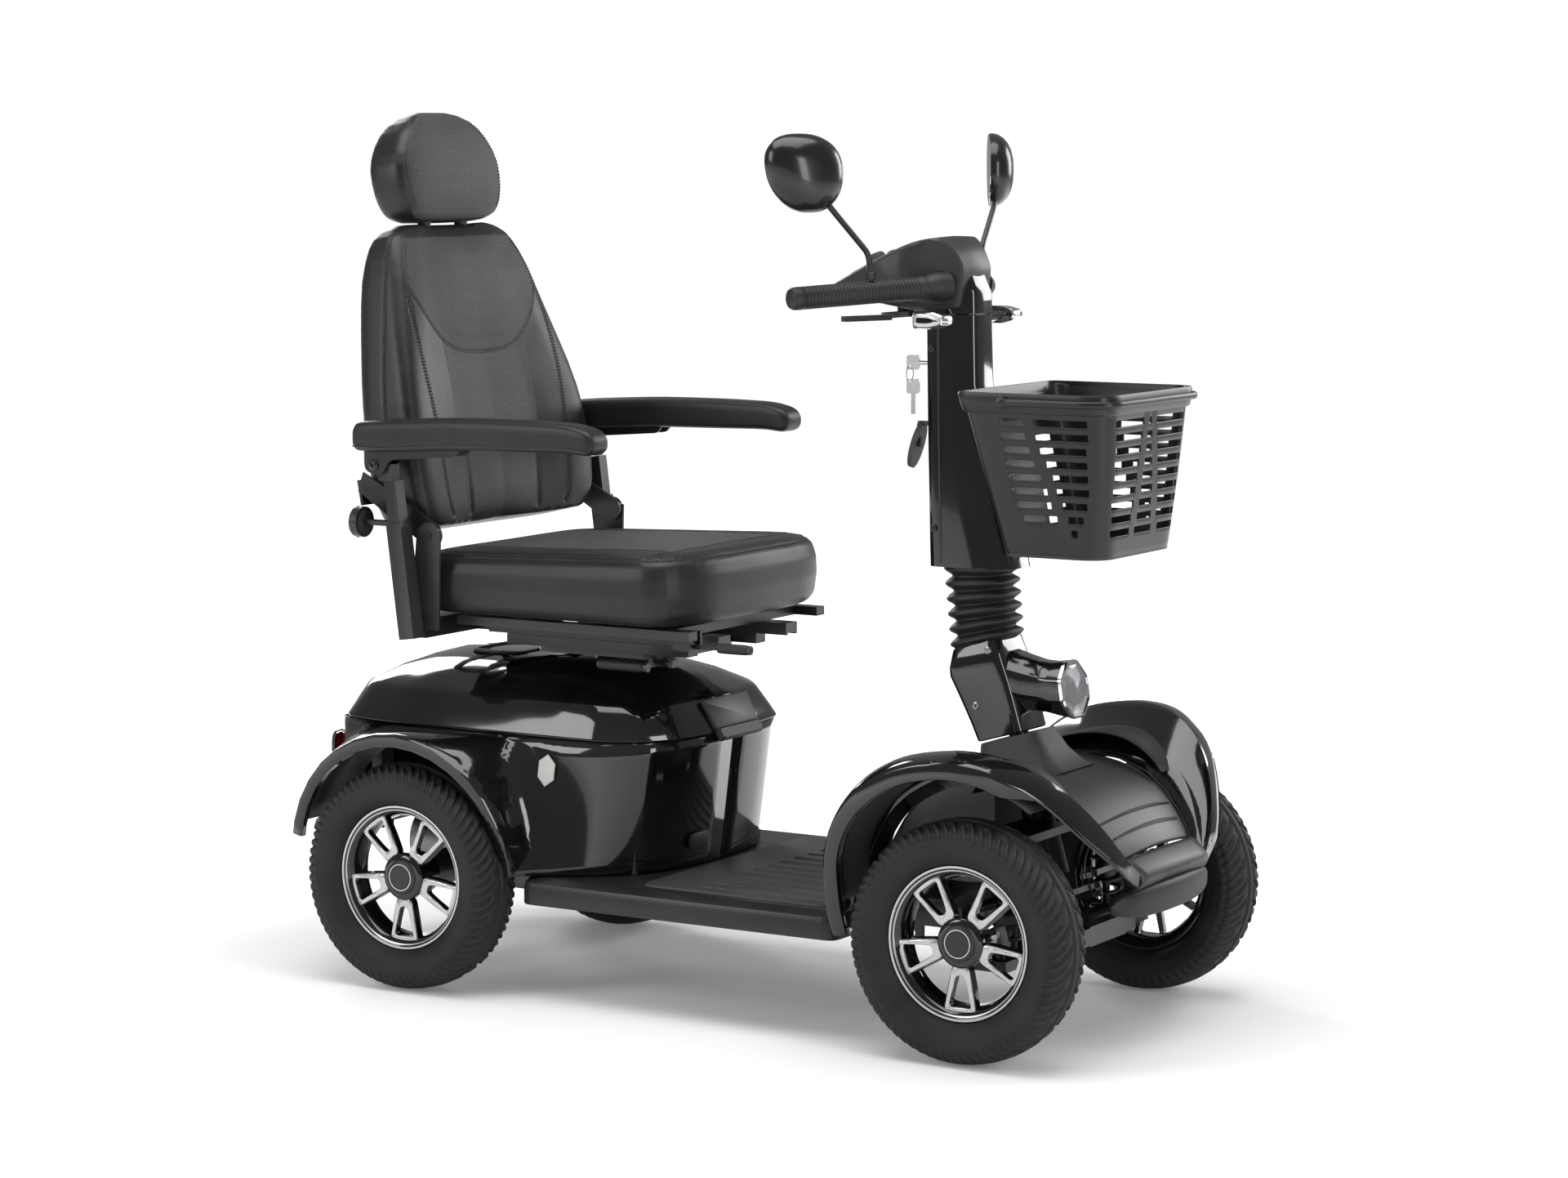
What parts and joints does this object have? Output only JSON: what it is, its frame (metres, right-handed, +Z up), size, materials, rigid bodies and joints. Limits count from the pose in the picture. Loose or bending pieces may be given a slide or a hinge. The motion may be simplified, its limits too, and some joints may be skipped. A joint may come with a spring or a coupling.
{
  "type": "mobility scooter",
  "caption": "Electric mobility scooter with a tilting tiller, front basket, ribbed floor, sprung wheels and a swivelling captain's seat with fold-up armrests.",
  "frame": {"origin": "on the floor under the middle of the whole scooter", "axes": "+X the way it drives, +Y its left side, +Z up"},
  "size_m": [1.452, 0.692, 1.3652],
  "materials": {
    "black_steel": "semi-gloss powder coat",
    "body_black": "high gloss black",
    "mat": "ribbed matte",
    "satin_grey": "fine grain satin",
    "soft_grey": "matte",
    "battery": "moulded case",
    "red_lens": "clear red lens",
    "bumper_rubber": "satin moulded rubber",
    "cast_housing": "cast",
    "spring_steel": "coated spring steel",
    "lamp_lens": "clear faceted lens",
    "bellows_rubber": "matte",
    "gloss_black": "gloss",
    "grip_rubber": "ribbed matte",
    "clear_lens": "clear lens with bright rim",
    "key_steel": "plated",
    "basket_plastic": "satin black",
    "chrome_steel": "polished",
    "seat_vinyl": "charcoal leatherette, partly woven",
    "armrest_pu": "moulded self-skin foam",
    "tyre": "moulded",
    "rim_alloy": "machined faces on black",
    "mirror_shell": "gloss shell, mirror face"
  },
  "bodies": {
    "chassis": {"frame": "black_steel", "footplate": "body_black", "footplate_mat": "mat", "rear_shroud": "body_black", "rear_top_cover": "body_black", "rear_fenders": "body_black", "batteries": "battery", "rear_lights": "red_lens", "bumpers": "bumper_rubber", "front_fender": "body_black", "nose_cover": "satin_grey", "rear_springs": "spring_steel", "front_spring_right": "spring_steel", "front_spring_left": "spring_steel"},
    "hatch": {"charge_hatch": "satin_grey"},
    "rear_drive": {"transaxle": "cast_housing"},
    "steering_column": {"steering_shaft": "black_steel", "neck_shell": "soft_grey", "headlamp": "lamp_lens", "bellows": "bellows_rubber"},
    "tiller": {"tiller_stem": "black_steel", "tiller_cover": "satin_grey", "console": "gloss_black", "handlebar": "grip_rubber", "turn_signals": "clear_lens"},
    "tilt_release": {"tilt_lever": "soft_grey"},
    "throttle": {"throttle_lever": "gloss_black"},
    "speed_dial": {"speed_knob": "soft_grey"},
    "key_body": {"key": "key_steel"},
    "basket_body": {"basket": "basket_plastic"},
    "basket_bail": {"basket_handle": "basket_plastic"},
    "seat_lift": {"seat_post": "chrome_steel"},
    "seat_swivel_base": {"swivel_plate": "black_steel"},
    "swivel_release": {"swivel_lever": "black_steel"},
    "seat": {"seat_frame": "black_steel", "seat_cushion": "seat_vinyl"},
    "slide_release": {"slide_lever": "black_steel"},
    "seat_back": {"back_frame": "black_steel", "backrest": "seat_vinyl"},
    "seat_headrest": {"headrest": "seat_vinyl"},
    "rear_wheel_right": {"rear_tyre_right": "tyre", "rear_rim_right": "rim_alloy"},
    "front_wheel_right": {"front_tyre_right": "tyre", "front_rim_right": "rim_alloy"},
    "front_arm_right_body": {"front_arm_right": "black_steel"},
    "knuckle_right_body": {"knuckle_right": "cast_housing"},
    "tie_rod_right_body": {"tie_rod_right": "key_steel"},
    "mirror_right_body": {"mirror_right": "mirror_shell"},
    "armrest_post_right_body": {"armrest_post_right": "black_steel"},
    "armrest_right_body": {"armrest_right": "armrest_pu"},
    "rear_wheel_left": {"rear_tyre_left": "tyre", "rear_rim_left": "rim_alloy"},
    "front_wheel_left": {"front_tyre_left": "tyre", "front_rim_left": "rim_alloy"},
    "front_arm_left_body": {"front_arm_left": "black_steel"},
    "knuckle_left_body": {"knuckle_left": "cast_housing"},
    "tie_rod_left_body": {"tie_rod_left": "key_steel"},
    "mirror_left_body": {"mirror_left": "mirror_shell"},
    "armrest_post_left_body": {"armrest_post_left": "black_steel"},
    "armrest_left_body": {"armrest_left": "armrest_pu"}
  },
  "joints": [
    {"name": "hatch_hinge", "type": "hinge", "parent": "chassis", "child": "hatch", "pos_m": [-0.08173, 0, 0.44861], "axis": [0, -1, 0], "range_deg": [0, 90]},
    {"name": "rear_suspension", "type": "hinge", "parent": "chassis", "child": "rear_drive", "pos_m": [-0.255, 0, 0.165], "axis": [0, 1, 0], "range_deg": [-2.6, 2.6], "stiffness_Nm_per_rad": 9000, "springref_deg": -0.83, "deforming": ["rear_springs"]},
    {"name": "steering", "type": "hinge", "parent": "chassis", "child": "steering_column", "pos_m": [0.531, 0, 0.178], "axis": [-0.2756, 0, 0.9613], "range_deg": [-28, 28]},
    {"name": "rear_wheel_right_spin", "type": "hinge", "parent": "rear_drive", "child": "rear_wheel_right", "pos_m": [-0.455, -0.296, 0.178], "axis": [0, 1, 0], "continuous": true},
    {"name": "front_suspension_right", "type": "hinge", "parent": "chassis", "child": "front_arm_right_body", "pos_m": [0.531, -0.08, 0.15], "axis": [-1, 0, 0], "range_deg": [-2.2, 2.2], "stiffness_Nm_per_rad": 3500, "springref_deg": -0.8, "deforming": ["front_spring_right"]},
    {"name": "kingpin_right", "type": "hinge", "parent": "front_arm_right_body", "child": "knuckle_right_body", "pos_m": [0.531, -0.215, 0.178], "axis": [-0.2756, 0, 0.9613], "range_deg": [-28, 28]},
    {"name": "tie_rod_right_pivot", "type": "hinge", "parent": "knuckle_right_body", "child": "tie_rod_right_body", "pos_m": [0.58399, -0.215, 0.21088], "axis": [-0.2756, 0, 0.9613], "range_deg": [-28, 28]},
    {"name": "front_wheel_right_spin", "type": "hinge", "parent": "knuckle_right_body", "child": "front_wheel_right", "pos_m": [0.531, -0.296, 0.178], "axis": [0, 1, 0], "continuous": true},
    {"name": "rear_wheel_left_spin", "type": "hinge", "parent": "rear_drive", "child": "rear_wheel_left", "pos_m": [-0.455, 0.296, 0.178], "axis": [0, 1, 0], "continuous": true},
    {"name": "front_suspension_left", "type": "hinge", "parent": "chassis", "child": "front_arm_left_body", "pos_m": [0.531, 0.08, 0.15], "axis": [1, 0, 0], "range_deg": [-2.2, 2.2], "stiffness_Nm_per_rad": 3500, "springref_deg": -0.8, "deforming": ["front_spring_left"]},
    {"name": "kingpin_left", "type": "hinge", "parent": "front_arm_left_body", "child": "knuckle_left_body", "pos_m": [0.531, 0.215, 0.178], "axis": [-0.2756, 0, 0.9613], "range_deg": [-28, 28]},
    {"name": "tie_rod_left_pivot", "type": "hinge", "parent": "knuckle_left_body", "child": "tie_rod_left_body", "pos_m": [0.5793, 0.215, 0.22722], "axis": [-0.2756, 0, 0.9613], "range_deg": [-28, 28]},
    {"name": "front_wheel_left_spin", "type": "hinge", "parent": "knuckle_left_body", "child": "front_wheel_left", "pos_m": [0.531, 0.296, 0.178], "axis": [0, 1, 0], "continuous": true},
    {"name": "tiller_tilt", "type": "hinge", "parent": "steering_column", "child": "tiller", "pos_m": [0.40724, 0, 0.60961], "axis": [0, 1, 0], "range_deg": [-22, 0]},
    {"name": "tilt_release_pull", "type": "hinge", "parent": "tiller", "child": "tilt_release", "pos_m": [0.31, 0, 0.894], "axis": [0, 1, 0], "range_deg": [0, 15], "stiffness_Nm_per_rad": 0.4, "springref_deg": -11.46},
    {"name": "throttle_turn", "type": "hinge", "parent": "tiller", "child": "throttle", "pos_m": [0.262, 0, 1.06], "axis": [0, 0, 1], "range_deg": [-10, 10], "stiffness_Nm_per_rad": 2},
    {"name": "speed_dial_turn", "type": "hinge", "parent": "tiller", "child": "speed_dial", "pos_m": [0.235, -0.038, 1.1365], "axis": [-0.4359, 0, 0.9], "range_deg": [-135, 135]},
    {"name": "key_turn", "type": "hinge", "parent": "tiller", "child": "key_body", "pos_m": [0.29, 0, 0.985], "axis": [1, 0, 0], "range_deg": [0, 70]},
    {"name": "basket_lift", "type": "slide", "parent": "tiller", "child": "basket_body", "axis": [0, 0, 1], "range_m": [0, 0.15]},
    {"name": "basket_bail_lift", "type": "hinge", "parent": "basket_body", "child": "basket_bail", "pos_m": [0.508, 0, 0.942], "axis": [0, -1, 0], "range_deg": [0, 115]},
    {"name": "mirror_right_swing", "type": "hinge", "parent": "tiller", "child": "mirror_right_body", "pos_m": [0.2977, -0.173, 1.11], "axis": [0, 0, 1], "range_deg": [-40, 40]},
    {"name": "mirror_left_swing", "type": "hinge", "parent": "tiller", "child": "mirror_left_body", "pos_m": [0.2977, 0.173, 1.11], "axis": [0, 0, 1], "range_deg": [-40, 40]},
    {"name": "seat_height", "type": "slide", "parent": "chassis", "child": "seat_lift", "axis": [0, 0, 1], "range_m": [0, 0.06]},
    {"name": "seat_swivel", "type": "hinge", "parent": "seat_lift", "child": "seat_swivel_base", "pos_m": [-0.227, 0, 0.52], "axis": [0, 0, 1], "range_deg": [-90, 90]},
    {"name": "swivel_release_lift", "type": "hinge", "parent": "seat_swivel_base", "child": "swivel_release", "pos_m": [-0.108, -0.106, 0.513], "axis": [-1, 0, 0], "range_deg": [0, 12], "stiffness_Nm_per_rad": 0.8, "springref_deg": -8.59},
    {"name": "seat_slide", "type": "slide", "parent": "seat_swivel_base", "child": "seat", "axis": [1, 0, 0], "range_m": [-0.05, 0.1]},
    {"name": "slide_release_lift", "type": "hinge", "parent": "seat", "child": "slide_release", "pos_m": [-0.024, -0.162, 0.552], "axis": [0, -1, 0], "range_deg": [0, 12], "stiffness_Nm_per_rad": 0.8, "springref_deg": -8.59},
    {"name": "armrest_width_right", "type": "slide", "parent": "seat", "child": "armrest_post_right_body", "axis": [0, -1, 0], "range_m": [0, 0.05]},
    {"name": "armrest_flip_right", "type": "hinge", "parent": "armrest_post_right_body", "child": "armrest_right_body", "pos_m": [-0.515, -0.284, 0.817], "axis": [0, -1, 0], "range_deg": [0, 95]},
    {"name": "armrest_width_left", "type": "slide", "parent": "seat", "child": "armrest_post_left_body", "axis": [0, 1, 0], "range_m": [0, 0.05]},
    {"name": "armrest_flip_left", "type": "hinge", "parent": "armrest_post_left_body", "child": "armrest_left_body", "pos_m": [-0.515, 0.284, 0.817], "axis": [0, -1, 0], "range_deg": [0, 95]},
    {"name": "seat_back_fold", "type": "hinge", "parent": "seat", "child": "seat_back", "pos_m": [-0.442, 0, 0.708], "axis": [0, 1, 0], "range_deg": [-15, 65]},
    {"name": "headrest_height", "type": "slide", "parent": "seat_back", "child": "seat_headrest", "axis": [-0.1736, 0, 0.9848], "range_m": [0, 0.06]}
  ],
  "couplings": [
    {"joint": "kingpin_right", "follows": "steering", "ratio": 1},
    {"joint": "tie_rod_right_pivot", "follows": "steering", "ratio": -1},
    {"joint": "kingpin_left", "follows": "steering", "ratio": 1},
    {"joint": "tie_rod_left_pivot", "follows": "steering", "ratio": -1}
  ]
}
